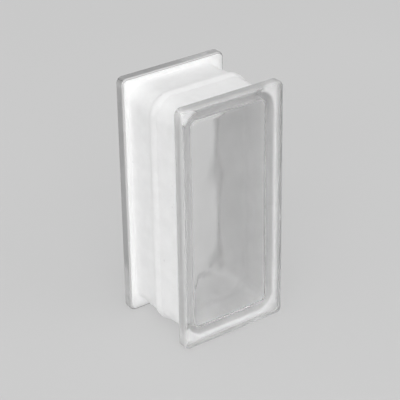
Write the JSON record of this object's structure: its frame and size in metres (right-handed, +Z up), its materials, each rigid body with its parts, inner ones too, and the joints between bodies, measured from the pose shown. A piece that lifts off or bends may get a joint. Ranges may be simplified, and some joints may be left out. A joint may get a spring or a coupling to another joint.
{
  "type": "glass block",
  "caption": "Half-size hollow glass building block with clear rounded faces, a soft wave relief inside, a fused seam and a white-coated mortar channel round its edges.",
  "frame": {"origin": "middle of the base, on the plane of the lower rims", "axes": "+X across the faces, +Y through the depth from the front face to the back face, +Z up the height"},
  "size_m": [0.09, 0.08, 0.19],
  "materials": {
    "glass": "clear pressed glass, smooth outside, with soft waves on the inner faces",
    "coating": "matt white polymer coating with a slightly uneven surface"
  },
  "bodies": {
    "root": {"glass_body": "glass", "edge_coating": "coating"}
  },
  "joints": []
}
